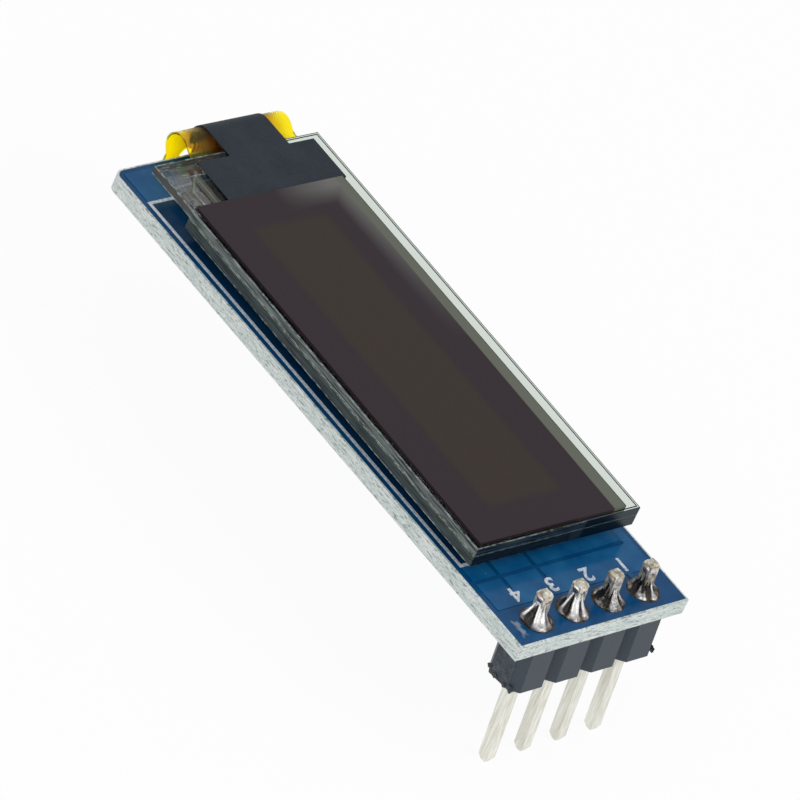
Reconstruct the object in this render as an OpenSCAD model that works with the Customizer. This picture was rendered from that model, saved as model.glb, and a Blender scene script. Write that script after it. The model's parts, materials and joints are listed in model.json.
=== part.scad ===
// Small monochrome OLED display module with a four-pin header.
// Frame: the origin is the middle of the pin row on the underside of the header's plastic,
// +X runs along the board towards the flex end, +Y across it and +Z out of the screen.

/* [Board] */
// Length of the circuit board
board_l = 37.5; // [37.2:0.1:42]
// Width of the circuit board
board_w = 12; // [11.6:0.1:16]
// Thickness of the glass-fibre core
core_t = 1.0; // [0.6:0.05:1.6]
// Thickness of the copper foil on each side
foil_t = 0.035; // [0.018:0.001:0.07]
// Thickness of the blue solder mask
mask_t = 0.025; // [0.015:0.001:0.04]
// Radius of the two corners at the flex end
board_corner_r = 0.6; // [0.2:0.1:1.5]
// Bare rim between the board edge and the solder mask
mask_rim = 0.12; // [0.05:0.01:0.25]
// Width of the printed white frame line
frame_line_w = 0.2; // [0.12:0.01:0.3]
// Thickness of the white ink
ink_t = 0.02; // [0.01:0.005:0.04]

/* [Pin header] */
// Number of pins
pin_count = 4; // [4:1:4]
// Distance between neighbouring pins
pitch = 2.54; // [2.3:0.01:2.6]
// Width of the square pins
pin_w = 0.64; // [0.5:0.01:0.7]
// Length of the pins below the plastic
pin_down = 5.7; // [4:0.1:9]
// Length of the pins above the plastic
pin_up = 3.1; // [2.6:0.1:3.4]
// Length of the pointed tip of a pin
tip_l = 0.35; // [0.2:0.05:0.8]
// Height of the header's plastic
insulator_h = 2.54; // [1.5:0.01:3.5]
// Depth of the header's plastic along the board
insulator_d = 2.54; // [2.2:0.01:2.6]
// Size of the notches between the plastic blocks
notch = 0.5; // [0.2:0.05:0.7]
// Lean of the hand-soldered header, in degrees
header_lean = 6.5; // [0:0.5:7]
// Distance from the hole row to the near board edge
hole_edge = 1.4; // [1.3:0.05:2]
// Inner diameter of the plated holes
hole_d = 1.1; // [1.05:0.01:1.2]
// Thickness of the copper in the holes
plating_t = 0.04; // [0.02:0.01:0.08]
// Outer diameter of the solder pads
pad_d = 1.9; // [1.6:0.05:2]
// Height of the solder joints above the pads
solder_h = 1.7; // [1.2:0.01:1.8]

/* [Display glass] */
// Distance from the near board edge to the glass
panel_edge = 5.25; // [4.5:0.05:5.55]
// Length of the front glass
panel_l = 30.2; // [29:0.1:30.3]
// Width of both glasses
panel_w = 11.5; // [11:0.1:12]
// Thickness of the front glass, which carries the pixels
substrate_t = 0.5; // [0.4:0.05:0.7]
// Length of the rear cap glass
cap_l = 26.6; // [26:0.1:27]
// Thickness of the rear cap glass
cap_t = 0.7; // [0.5:0.05:0.8]
// Thickness of the seal between the glasses
seal_t = 0.05; // [0.02:0.01:0.1]
// Width of the seal round the rim
seal_w = 0.9; // [0.5:0.1:1.2]
// Depth of the pocket etched into the cap glass
pocket_depth = 0.25; // [0.15:0.05:0.35]
// Corner radius of the pocket
pocket_r = 0.8; // [0.3:0.1:1.5]
// Length of the lit area
active_l = 22.384; // [20:0.001:22.5]
// Width of the lit area
active_w = 5.584; // [4:0.001:6]
// Distance from the near glass edge to the lit area
active_edge = 2.1; // [1.8:0.1:2.4]
// Sideways offset of the lit area from the middle of the glass
active_y = 0.75; // [0:0.05:0.8]
// Thickness of the polarising film
polariser_t = 0.2; // [0.1:0.01:0.25]
// Width of the polarising film
polariser_w = 10.3; // [9.5:0.1:10.4]
// Bare glass between the near glass edge and the film
polariser_edge = 0.2; // [0.1:0.05:0.5]
// Thickness of the foam tape under the glass
foam_t = 0.65; // [0.3:0.05:1]
// Skew of the glass on the board, in degrees
panel_skew = 0.8; // [0:0.1:1]

/* [Flex circuit] */
// Width of the flex where it is bonded to the glass
foot_w = 9.9; // [9.2:0.1:10]
// Width of the flex at the fold
waist_w = 7.4; // [6.6:0.1:8]
// Sideways offset of the fold from the middle of the glass
waist_y = -1.1; // [-1.3:0.1:-0.9]
// Width of the flex tail behind the board
tail_w = 9.2; // [9:0.1:9.6]
// Length of the tail from the board's far edge to the solder pads
tail_l = 6.4; // [5:0.1:7]
// Thickness of the polyimide base film
film_t = 0.06; // [0.04:0.01:0.1]
// Thickness of the copper conductors
track_t = 0.03; // [0.02:0.01:0.04]
// Thickness of the cover film
cover_t = 0.03; // [0.02:0.01:0.05]
// Number of conductors
track_count = 14; // [14:1:14]
// Spacing of the conductors where they are soldered and bonded
track_pitch = 0.62; // [0.55:0.01:0.65]
// Spacing of the conductors at the fold
waist_pitch = 0.26; // [0.24:0.01:0.28]
// Outer radius of the upper part of the fold
fold_r = 0.95; // [0.8:0.01:1]
// Angle by which the fold tucks back in under itself, in degrees
tuck = 40; // [10:1:45]
// Radius of the reverse bend between the fold and the board's edge
tuck_r = 0.5; // [0.3:0.05:0.6]
// Diameter of the two alignment holes
align_hole_d = 0.9; // [0.6:0.1:1]

/* [Light-shield tape] */
// Thickness of the black tape
tape_t = 0.08; // [0.05:0.01:0.12]
// Width of the tape on the glass
tape_w = 8.25; // [8:0.05:9]
// Width of the tape over the fold
tape_neck_w = 4.2; // [3.5:0.1:4.6]

/* [Rear components] */
// Length of the chip capacitors and resistors
chip_l = 1.6; // [1.4:0.1:1.6]
// Width of the chip capacitors and resistors
chip_w = 0.8; // [0.6:0.05:0.9]
// Height of the chip capacitors
capacitor_h = 0.8; // [0.5:0.05:0.9]
// Height of the chip resistors
resistor_h = 0.45; // [0.3:0.05:0.6]
// Length of the metal ends of a chip
terminal_l = 0.32; // [0.2:0.01:0.45]
// Body length of the three-lead regulator
regulator_l = 2.9; // [2.7:0.1:3]
// Body width of the three-lead regulator
regulator_w = 1.3; // [1.2:0.1:1.6]
// Body height of the three-lead regulator
regulator_h = 1.0; // [0.8:0.05:1.2]

/* [Hidden] */
$fn = 48;
eps = 0.01;

// Heights. The leaning plastic touches the board with its near top edge.
skin_t = foil_t + mask_t;
board_under = insulator_h * cos(header_lean) + insulator_d / 2 * sin(header_lean);
core_z = board_under + skin_t;
core_top = core_z + core_t;
board_top = core_top + skin_t;
hole_x = tan(header_lean) * (core_z + core_t / 2);
board_x = hole_x - hole_edge;
cap_z = board_top + foam_t;
seal_z = cap_z + cap_t;
glass_z = seal_z + seal_t;
glass_top = glass_z + substrate_t;
pixel_t = seal_t * 0.4;

// ---------------------------------------------------------------- shared shapes

module rounded_rect(l, w, r) {
    translate([r, 0]) square([l - 2 * r, w]);
    translate([0, r]) square([l, w - 2 * r]);
    for (x = [r, l - r], y = [r, w - r]) translate([x, y]) circle(r);
}

// A block with all its edges rounded, centred on X and Y.
module rounded_block(l, w, h, r) {
    intersection() {
        translate([-l / 2, -w / 2]) linear_extrude(h) rounded_rect(l, w, r);
        translate([-l / 2, w / 2]) rotate([90, 0, 0]) linear_extrude(w) rounded_rect(l, h, r);
        translate([-l / 2, -w / 2]) rotate([90, 0, 90]) linear_extrude(l) rounded_rect(w, h, r);
    }
}

// A straight copper track with round ends.
module track(a, b, w) {
    d = b - a;
    translate(a) circle(w / 2);
    translate(b) circle(w / 2);
    translate(a) rotate(atan2(d[1], d[0])) translate([0, -w / 2]) square([norm(d), w]);
}

// Places its children on the board, measured from its near edge.
module on_board(z) translate([board_x, 0, z]) children();

// Places its children on the glass, measured from its near edge and middle line.
module on_panel(z)
    on_board(z) translate([panel_edge, 0]) rotate(-panel_skew) children();

// Leans its children with the header.
module leaned() rotate([0, header_lean, 0]) children();

function pin_y(i) = (i - (pin_count - 1) / 2) * pitch;

// ---------------------------------------------------------------- circuit board

module board_outline(inset = 0) {
    r = board_corner_r - inset;
    translate([inset, inset - board_w / 2])
        difference() {
            square([board_l - 2 * inset, board_w - 2 * inset]);
            for (side = [0, 1])
                translate([board_l - 2 * inset, side * (board_w - 2 * inset)])
                    mirror([0, side])
                        difference() {
                            translate([-r, -eps]) square([r + eps, r + eps]);
                            translate([-r, r]) circle(r);
                        }
        }
}

module header_holes(d) for (i = [0:pin_count - 1]) translate([hole_edge, pin_y(i)]) circle(d / 2);

module board()
    color("#c9d3c4")
        on_board(core_z)
            difference() {
                linear_extrude(core_t) board_outline();
                translate([0, 0, -eps])
                    linear_extrude(core_t + 2 * eps) header_holes(hole_d + 2 * plating_t);
            }

module hole_plating()
    color("#d8b45a")
        for (i = [0:pin_count - 1])
            on_board(core_z)
                translate([hole_edge, pin_y(i), -foil_t])
                    difference() {
                        union() {
                            cylinder(d = pad_d, h = foil_t);
                            cylinder(d = hole_d + 2 * plating_t, h = core_t + 2 * foil_t);
                            translate([0, 0, core_t + foil_t]) cylinder(d = pad_d, h = foil_t);
                        }
                        translate([0, 0, -eps]) cylinder(d = hole_d, h = core_t + 2 * skin_t);
                    }

// Front copper: a ground area behind the pads, joined to the first pin and cut by gaps.
gap_w = 0.3;
pour_rim = 0.45;
pad_gap = 0.3;
track_w = 0.3;
cross_gap_from_hole = 3.3;
cross_gap_x = hole_edge + cross_gap_from_hole;
cross_gap_end = 1.1;
split_gap_from_hole = 2.4;
split_gap_x = hole_edge + split_gap_from_hole;
split_gap_l = 2.2;
split_pins = [2, 3];

module copper_top_shape(grow = 0) {
    rim = pour_rim - grow;
    pour_x = hole_edge + pad_d / 2 + pad_gap - grow;
    half_w = board_w / 2;
    difference() {
        union() {
            translate([pour_x, rim - half_w])
                square([board_l - rim - pour_x, board_w - 2 * rim]);
            track([hole_edge, pin_y(0)], [pour_x + track_w, pin_y(0)], track_w + 2 * grow);
        }
        track([cross_gap_x, cross_gap_end - half_w], [cross_gap_x, half_w], gap_w - 2 * grow);
        for (i = split_pins)
            track([split_gap_x, pin_y(i)], [split_gap_x + split_gap_l, pin_y(i)],
                  gap_w - 2 * grow);
    }
}

module copper_top()
    color("#c77f45")
        on_board(core_top)
            linear_extrude(foil_t)
                difference() {
                    copper_top_shape();
                    header_holes(pad_d);
                }

module solder_mask_top()
    color("#14508c")
        on_board(core_top)
            difference() {
                union() {
                    linear_extrude(mask_t) board_outline(mask_rim);
                    linear_extrude(skin_t) copper_top_shape(mask_t);
                }
                translate([0, 0, -eps]) linear_extrude(foil_t + eps) copper_top_shape();
                translate([0, 0, -eps]) linear_extrude(skin_t + 2 * eps) header_holes(pad_d);
            }

frame_inset = 0.65;
frame_past = 0.7;
frame_rim = 0.35;

module legend_frame() {
    frame_l = panel_l - frame_inset - frame_past;
    frame_w = board_w - 2 * frame_rim;
    color("white")
        on_board(board_top)
            translate([panel_edge + frame_inset, -frame_w / 2])
                linear_extrude(ink_t)
                    difference() {
                        square([frame_l, frame_w]);
                        translate([frame_line_w, frame_line_w])
                            square([frame_l - 2 * frame_line_w, frame_w - 2 * frame_line_w]);
                    }
}

// ---------------------------------------------------------------- header

module insulator_outline() {
    h = insulator_d / 2;
    for (i = [0:pin_count - 1])
        translate([0, pin_y(i)])
            polygon([
                [notch - h, -pitch / 2], [h - notch, -pitch / 2], [h, notch - pitch / 2],
                [h, pitch / 2 - notch], [h - notch, pitch / 2], [notch - h, pitch / 2],
                [-h, pitch / 2 - notch], [-h, notch - pitch / 2]
            ]);
}

module header_insulator()
    color("#33383d")
        leaned()
            difference() {
                linear_extrude(insulator_h) insulator_outline();
                for (i = [0:pin_count - 1])
                    translate([-pin_w / 2, pin_y(i) - pin_w / 2, -eps])
                        cube([pin_w, pin_w, insulator_h + 2 * eps]);
            }

// A square pin with a four-sided point at both ends.
module pin(i) {
    l = pin_down + insulator_h + pin_up;
    a = pin_w / 2;
    color("#d9d6cc")
        leaned()
            translate([0, pin_y(i), -pin_down])
                intersection() {
                    translate([-a, -a, 0]) cube([pin_w, pin_w, l]);
                    for_axis() rotate([90, 0, 0])
                        translate([0, 0, -a])
                            linear_extrude(pin_w) pin_profile(l, a);
                }
}

module pin_profile(l, a)
    polygon([
        [-a / 2, 0], [a / 2, 0], [a, tip_l], [a, l - tip_l / 2], [a * 0.7, l],
        [-a * 0.7, l], [-a, l - tip_l / 2], [-a, tip_l]
    ]);

module for_axis() intersection_for (turn = [0, 90]) rotate(turn) children();

module pin_1() pin(0);
module pin_2() pin(1);
module pin_3() pin(2);
module pin_4() pin(3);

// Solder joint: a concave cone that hugs the square pin, with drawn-up ridges.
joint_sides = 30;
solder_film = 0.035;
flute_count = 4;
flute_depth = 0.1;
ripple_count = 7;
ripple_depth = 0.07;
joint_turn = 90;
joint_profile = [
    // share of the height, radius as a share of the pad's radius
    [0, 1], [0.05, 0.93], [0.16, 0.77], [0.3, 0.6], [0.45, 0.46], [0.6, 0.38],
    [0.72, 0.36], [0.82, 0.44], [0.9, 0.47], [0.96, 0.43], [1, 0.34]
];

// Radius of a rounded square of half width a at an angle.
function square_r(a, angle) = a / pow(pow(abs(cos(angle)), 6) + pow(abs(sin(angle)), 6), 1 / 6);

function joint_r(share, r, angle, phase) =
    let (fade = sin(180 * min(1, share / 0.75)),
         flute = flute_depth * cos(flute_count * angle + phase),
         ripple = ripple_depth * cos(ripple_count * angle - 2 * phase),
         ridge = fade * (flute + ripple))
    max(r * pad_d / 2 * (1 + ridge), square_r(pin_w / 2 + solder_film * (1.1 - share), angle));

function joint_ring(x, z, radii) = [
    for (k = [0:joint_sides - 1])
        let (angle = 360 * k / joint_sides)
        [x + radii[k] * cos(angle), radii[k] * sin(angle), z]
];

module solder_joint(i) {
    angles = [for (k = [0:joint_sides - 1]) 360 * k / joint_sides];
    pad_top = core_top + foil_t;
    barrel = [for (angle = angles) hole_d / 2];
    rings = concat(
        [joint_ring(hole_x, core_z - foil_t, barrel), joint_ring(hole_x, pad_top, barrel)],
        [for (p = joint_profile)
            let (z = pad_top + p[0] * solder_h, centre = p[0] == 0 ? hole_x : tan(header_lean) * z)
            joint_ring(centre, z, [for (angle = angles) joint_r(p[0], p[1], angle, joint_turn * i)])]
    );
    last = len(rings) - 1;
    faces = concat(
        [[for (k = [0:joint_sides - 1]) k]],
        [for (j = [0:last - 1], k = [0:joint_sides - 1])
            let (n = (k + 1) % joint_sides, a = j * joint_sides, b = a + joint_sides)
            [a + k, b + k, b + n, a + n]],
        [[for (k = [joint_sides - 1:-1:0]) last * joint_sides + k]]
    );
    color("#b9b9b4")
        difference() {
            translate([0, pin_y(i), 0]) polyhedron([for (r = rings) for (p = r) p], faces, 4);
            leaned()
                translate([-pin_w / 2, pin_y(i) - pin_w / 2, 0])
                    cube([pin_w, pin_w, insulator_h + 2 * pin_up]);
        }
}

module solder_joint_1() solder_joint(0);
module solder_joint_2() solder_joint(1);
module solder_joint_3() solder_joint(2);
module solder_joint_4() solder_joint(3);

// ---------------------------------------------------------------- display glass

// A rectangle on the glass from x to x + l, centred at y.
module panel_rect(x, l, w, y = 0, r = 0) {
    translate([x, y - w / 2])
        if (r > 0) rounded_rect(l, w, r);
        else square([l, w]);
}

// The foam runs on under the ledge, and leaves the glass bare at both sides.
foam_margin = 1;
foam_side = 1.5;
foam_end = 1.2;
pocket_l = cap_l - 2 * seal_w;
pocket_w = panel_w - 2 * seal_w;

module foam_tape()
    color("#2b2b2d")
        on_panel(board_top)
            linear_extrude(foam_t)
                panel_rect(foam_margin, panel_l - foam_margin - foam_end,
                           panel_w - 2 * foam_side);

module cap_glass()
    color("#a9c2bb")
        on_panel(cap_z)
            difference() {
                linear_extrude(cap_t) panel_rect(0, cap_l, panel_w);
                translate([0, 0, cap_t - pocket_depth])
                    linear_extrude(pocket_depth + eps)
                        panel_rect(seal_w, pocket_l, pocket_w, 0, pocket_r);
            }

desiccant_t = 0.12;
desiccant_gap = 0.5;

module desiccant()
    color("#8f8b80")
        on_panel(cap_z + cap_t - pocket_depth)
            linear_extrude(desiccant_t)
                panel_rect(seal_w + desiccant_gap, pocket_l - 2 * desiccant_gap,
                           pocket_w - 2 * desiccant_gap);

module seal_ring()
    color("#5f6f68")
        on_panel(seal_z)
            linear_extrude(seal_t)
                difference() {
                    panel_rect(0, cap_l, panel_w);
                    panel_rect(seal_w, pocket_l, pocket_w, 0, pocket_r);
                }

cathode_rim = 0.5;

module pixel_layer()
    color("#4a4038")
        on_panel(glass_z - pixel_t)
            linear_extrude(pixel_t) panel_rect(active_edge, active_l, active_w, active_y);

module cathode()
    color("#8c8c90")
        on_panel(glass_z - pixel_t)
            translate([0, 0, -pixel_t])
                difference() {
                    linear_extrude(2 * pixel_t)
                        panel_rect(active_edge - cathode_rim, active_l + 2 * cathode_rim,
                                   active_w + 2 * cathode_rim, active_y);
                    translate([0, 0, pixel_t])
                        linear_extrude(pixel_t + eps)
                            panel_rect(active_edge, active_l, active_w, active_y);
                }

module front_glass()
    color("#b7cfc8") on_panel(glass_z) linear_extrude(substrate_t) panel_rect(0, panel_l, panel_w);

polariser_side = 0.25;
polariser_y = (panel_w - polariser_w) / 2 - polariser_side;

module polariser()
    color("#3a3634")
        on_panel(glass_top)
            linear_extrude(polariser_t)
                panel_rect(polariser_edge, cap_l - polariser_edge, polariser_w, polariser_y);

// The ledge beyond the cap glass holds the driver chip, the flex bond and a metal test track.
ledge_l = panel_l - cap_l;
bond_l = ledge_l * 0.22;
chip_die_l = 8;
chip_die_w = 0.9;
chip_die_t = 0.3;
chip_die_gap = 0.6;

module driver_chip()
    color("#4d5560")
        on_panel(glass_z - chip_die_t)
            linear_extrude(chip_die_t)
                panel_rect(cap_l + chip_die_gap, chip_die_w, chip_die_l, tape_y);

// The test track is a broad line beside the tape, with a thin one that leaves its far end.
wiring_t = 0.015;
mark_gap = 0.15;
mark_near = 0.3;
mark_far = 0.95;
mark_w = 0.32;
mark_line_w = 0.1;
mark_reach = 1.15;

module panel_wiring() {
    mark_y = tape_y + tape_w / 2 + mark_gap;
    far = panel_l - mark_far;
    near = cap_l + mark_near;
    knee = [far - mark_reach, mark_y + mark_reach];
    color("#b9c0ae")
        on_panel(glass_z - wiring_t)
            linear_extrude(wiring_t) {
                translate([near, mark_y]) square([far - near, mark_w]);
                track([far - mark_line_w / 2, mark_y + mark_w - mark_line_w / 2], knee,
                      mark_line_w);
                track(knee, [near, knee[1]], mark_line_w);
            }
}

// ---------------------------------------------------------------- flex circuit

// The flex leaves the ledge level, rises a little, curls over and tucks in towards the board's
// far edge, runs down that edge and wraps under the board. Points are [distance beyond the
// glass, height]; n is the distance out from the outer face of the copper conductors.
rise = 40;
rise_r = 1;
arc_step = 7.5;
edge_clear = 0.15;
wrap_r = edge_clear + film_t + track_t;
lead_min = 0.3;
rise_l = (rise_r + fold_r) * sin(rise) + fold_r;
tuck_in = (fold_r + tuck_r) * (1 - cos(tuck));
far_u = board_l - panel_edge - panel_l;
fold_u = max(far_u + wrap_r + tuck_in, lead_min + rise_l);
lead_l = fold_u - rise_l;
under_z = board_under - film_t - track_t;
rise_at = [lead_l, glass_z + rise_r];
fold_at = rise_at + (rise_r + fold_r) * [sin(rise), -cos(rise)];
tuck_at = fold_at + (fold_r + tuck_r) * outward(-90 - tuck);
wrap_at = [fold_u - tuck_in - wrap_r, under_z + wrap_r];
solder_u = far_u - tail_l;
foot_y = waist_y / 2;
tail_y = (panel_l + solder_u) * tan(panel_skew);

function outward(heading) = [-sin(heading), cos(heading)];
function headings(from, to) =
    let (n = ceil(abs(to - from) / arc_step)) [for (k = [0:n]) from + (to - from) * k / n];

// One face of the folded flex, from where it leaves the glass to where the tail lies flat.
function fold_face(n) = concat(
    [for (h = headings(0, rise)) rise_at - (rise_r - n) * outward(h)],
    [for (h = headings(rise, -90 - tuck)) fold_at + (fold_r + n) * outward(h)],
    [for (h = headings(-90 - tuck, -90)) tuck_at - (tuck_r - n) * outward(h)],
    [for (h = headings(-90, -180)) wrap_at + (wrap_r + n) * outward(h)]
);
function reversed(list) = [for (k = [len(list) - 1:-1:0]) list[k]];

// A strip of the flex between two distances from the conductors' outer face.
module fold_strip(outer, inner, w, y, start_u, end_u)
    on_panel(0)
        translate([panel_l, y + w / 2])
            rotate([90, 0, 0])
                linear_extrude(w)
                    polygon(concat(
                        [[start_u, glass_z + outer]], fold_face(outer), [[end_u, under_z - outer]],
                        [[end_u, under_z - inner]], reversed(fold_face(inner)),
                        [[start_u, glass_z + inner]]
                    ));

foot_out = 0.15;
tail_step = 1.6;

module flex_foot_outline()
    translate([panel_l - bond_l, foot_y - foot_w / 2]) square([bond_l + foot_out, foot_w]);

module flex_tail_outline() {
    x0 = panel_l + solder_u;
    x1 = panel_l + wrap_at[0];
    polygon([
        [x0, tail_y - tail_w / 2], [x1 - 2 * tail_step, tail_y - tail_w / 2],
        [x1 - tail_step, waist_y - waist_w / 2], [x1, waist_y - waist_w / 2],
        [x1, waist_y + waist_w / 2], [x1 - tail_step, waist_y + waist_w / 2],
        [x1 - 2 * tail_step, tail_y + tail_w / 2], [x0, tail_y + tail_w / 2]
    ]);
}

align_hole_up = 0.7;
align_hole_in = 1.5;

module align_holes()
    for (side = [-1, 1])
        on_panel(wrap_at[1] + align_hole_up)
            translate([panel_l + wrap_at[0], waist_y + side * (waist_w / 2 - align_hole_in)])
                rotate([0, 90, 0]) cylinder(d = align_hole_d, h = 2 * fold_r);

module flex_film()
    color("#d98b1c")
        difference() {
            union() {
                on_panel(glass_z - track_t - film_t) linear_extrude(film_t) flex_foot_outline();
                fold_strip(-track_t, -track_t - film_t, waist_w, waist_y, 0, wrap_at[0] - tail_step);
                on_panel(board_under - film_t) linear_extrude(film_t) flex_tail_outline();
            }
            align_holes();
        }

module flex_cover()
    color("#c9791a")
        difference() {
            union() {
                fold_strip(cover_t, 0, waist_w, waist_y, foot_out, wrap_at[0] - tail_step);
                on_panel(under_z - cover_t) linear_extrude(cover_t)
                    difference() {
                        flex_tail_outline();
                        translate([panel_l + solder_u - eps, tail_y - tail_w])
                            square([bare_end_l, 2 * tail_w]);
                    }
            }
            align_holes();
        }

bare_end_l = 0.8;
conductor_w = 0.14;
finger_w = 0.3;
track_lap = 0.1;

function conductor_y(i, p, y) = y + (i - (track_count - 1) / 2) * p;

// A flat run of one conductor that moves from one spacing to another.
module fan_out(x0, y0, w0, x1, y1, w1, run)
    polygon([
        [x0, y0 - w0 / 2], [x0 + run, y0 - w0 / 2], [x1 - run / 2, y1 - w1 / 2], [x1, y1 - w1 / 2],
        [x1, y1 + w1 / 2], [x1 - run / 2, y1 + w1 / 2], [x0 + run, y0 + w0 / 2],
        [x0, y0 + w0 / 2]
    ]);

module flex_tracks()
    color("#b87333")
        for (i = [0:track_count - 1]) {
            y_foot = conductor_y(i, track_pitch, foot_y);
            y_fold = conductor_y(i, waist_pitch, waist_y);
            y_tail = conductor_y(i, track_pitch, tail_y);
            on_panel(glass_z - track_t)
                linear_extrude(track_t)
                    fan_out(panel_l - bond_l, y_foot, finger_w, panel_l + lead_l, y_fold,
                            conductor_w, bond_l * 0.6);
            fold_strip(0, -track_t, conductor_w, y_fold, lead_l - track_lap,
                       wrap_at[0] - track_lap);
            on_panel(under_z)
                linear_extrude(track_t)
                    fan_out(panel_l + solder_u, y_tail, finger_w, panel_l + wrap_at[0], y_fold,
                            conductor_w, bare_end_l);
        }

// Solder on the pads at the end of the tail.
flex_solder_l = 1.1;
flex_solder_r = 0.2;

module flex_solder()
    color("#c4c4bf")
        on_panel(core_z - foil_t)
            for (i = [0:track_count - 1])
                translate([panel_l + solder_u - flex_solder_l,
                           conductor_y(i, track_pitch, tail_y), 0])
                    rotate([0, 90, 0])
                        intersection() {
                            cylinder(r = flex_solder_r, h = flex_solder_l, $fn = 24);
                            translate([0, -flex_solder_r, -eps])
                                cube([flex_solder_r, 2 * flex_solder_r, flex_solder_l + 2 * eps]);
                        }

// ---------------------------------------------------------------- light-shield tape

tape_y = -0.98;
tape_back = 0.45;
tape_neck_shift = 0.15;
tape_neck_y = waist_y - tape_neck_shift;
tape_r = fold_r + cover_t;
tape_from = [0, glass_top];
tape_start =
    atan2(fold_at[1] - tape_from[1], fold_at[0]) + asin(tape_r / norm(fold_at - tape_from));

function tape_face(n) = concat(
    [[-ledge_l / 2, glass_top + n]], [tape_from + [0, n]],
    [fold_at + (tape_r + n) * outward(tape_start)],
    [for (h = headings(rise, -90 - tuck)) if (h < tape_start) fold_at + (tape_r + n) * outward(h)]
);

module light_tape()
    color("#383d41") {
        on_panel(glass_top)
            linear_extrude(tape_t) panel_rect(cap_l, ledge_l - tape_back, tape_w, tape_y);
        on_panel(0)
            translate([panel_l, tape_neck_y + tape_neck_w / 2])
                rotate([90, 0, 0])
                    linear_extrude(tape_neck_w)
                        polygon(concat(tape_face(tape_t), reversed(tape_face(0))));
    }

// ---------------------------------------------------------------- rear components

// Places [distance from the near board edge, distance from the middle line, turn]. Two rows
// start at the flex pads and run back, and the rest stand off the header's holes.
flex_pad_l = 1.7;
flex_pad_w = 0.36;
flex_pad_over = 0.3;
flex_pads_x = panel_edge + panel_l + solder_u - flex_pad_l + flex_pad_over;
row_gap = 2.3;
row_pitch = 2.2;
row_y = 3.2;
near_chip_x = hole_edge + 6.8;
near_capacitor_y = -3.6;
near_resistor_y = [3.8, 2.2];
regulator_x = hole_edge + 12.2;
regulator_y = -1.2;
function in_row(k, side) = [flex_pads_x - row_gap - row_pitch * k, side * row_y, 90];
capacitor_places = [
    for (k = [0:4]) in_row(k, 1), for (k = [0:1]) in_row(k, -1),
    [near_chip_x, near_capacitor_y, 0]
];
resistor_places = [
    in_row(2, -1), in_row(3, -1), for (y = near_resistor_y) [near_chip_x, y, 0]
];
regulator_place = [regulator_x, regulator_y, 0];
chip_places = concat(capacitor_places, resistor_places);
chip_pad_l = 0.85;
chip_pad_w = chip_w + 0.1;
chip_pad_x = chip_l / 2 + 0.03;
lead_w = 0.42;
lead_pitch = 1.9;
lead_reach = 0.55;
lead_t = 0.13;
lead_pad_in = 0.15;
body_gap = 0.05;
body_r = 0.08;

// Children stand on the rear pads, with their own +Z pointing away from the board.
module on_back(place)
    on_board(core_z - foil_t)
        translate([place[0], place[1], 0]) rotate([180, 0, place[2]]) children();

module lead_places()
    for (spot = [[-lead_pitch / 2, -1], [lead_pitch / 2, -1], [0, 1]])
        translate([spot[0], spot[1] * (regulator_w / 2 + lead_reach - lead_pad_in)]) children();

module chip_pads()
    for (side = [-1, 1])
        translate([side * chip_pad_x - chip_pad_l / 2, -chip_pad_w / 2])
            square([chip_pad_l, chip_pad_w]);

module rear_pads() {
    for (place = chip_places)
        translate([place[0], place[1]]) rotate(place[2]) chip_pads();
    translate([regulator_place[0], regulator_place[1]]) rotate(regulator_place[2])
        lead_places() translate([-lead_w, -lead_w]) square(2 * lead_w);
    for (i = [0:track_count - 1])
        translate([flex_pads_x, conductor_y(i, track_pitch, 0) - flex_pad_w / 2])
            square([flex_pad_l, flex_pad_w]);
}

// Tracks of the rear side: one from each capacitor of the row to the flex pads, and one from
// each of three header pads to its component.
bus_y = 0.9;
bus_pitch = 0.45;
bus_count = 5;
bus_end = 0.8;
header_track_stop = 1.1;
ground_track_stop = 1.5;
header_tracks = [[0, near_chip_x - ground_track_stop], [3, near_chip_x - header_track_stop],
                 [2, near_chip_x - header_track_stop]];

module copper_bottom_shape(grow = 0) {
    w = track_w + 2 * grow;
    bus_x = flex_pads_x - bus_end;
    for (k = [0:bus_count - 1]) {
        x = capacitor_places[k][0];
        y = bus_y - bus_pitch * k;
        track([x, capacitor_places[k][1] - chip_pad_x], [x, y], w);
        track([x, y], [bus_x, y], w);
    }
    for (t = header_tracks) track([hole_edge, pin_y(t[0])], [t[1], pin_y(t[0])], w);
}

module copper_bottom()
    color("#c77f45")
        on_board(core_z - foil_t)
            linear_extrude(foil_t) {
                difference() {
                    copper_bottom_shape();
                    header_holes(pad_d);
                }
                rear_pads();
            }

module solder_mask_bottom()
    color("#14508c")
        on_board(core_z)
            mirror([0, 0, 1])
                difference() {
                    union() {
                        linear_extrude(mask_t) board_outline(mask_rim);
                        linear_extrude(skin_t) copper_bottom_shape(mask_t);
                    }
                    translate([0, 0, -eps]) linear_extrude(foil_t + eps) copper_bottom_shape();
                    translate([0, 0, -eps])
                        linear_extrude(skin_t + 2 * eps) {
                            header_holes(pad_d);
                            rear_pads();
                        }
                }

// Places its children on one lead's side of the regulator, with +X pointing outwards.
module at_lead(k) {
    spot = [[-lead_pitch / 2, -1], [lead_pitch / 2, -1], [0, 1]][k];
    on_back(regulator_place)
        translate([spot[0], spot[1] * regulator_w / 2]) rotate(90 * spot[1]) children();
}

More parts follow.
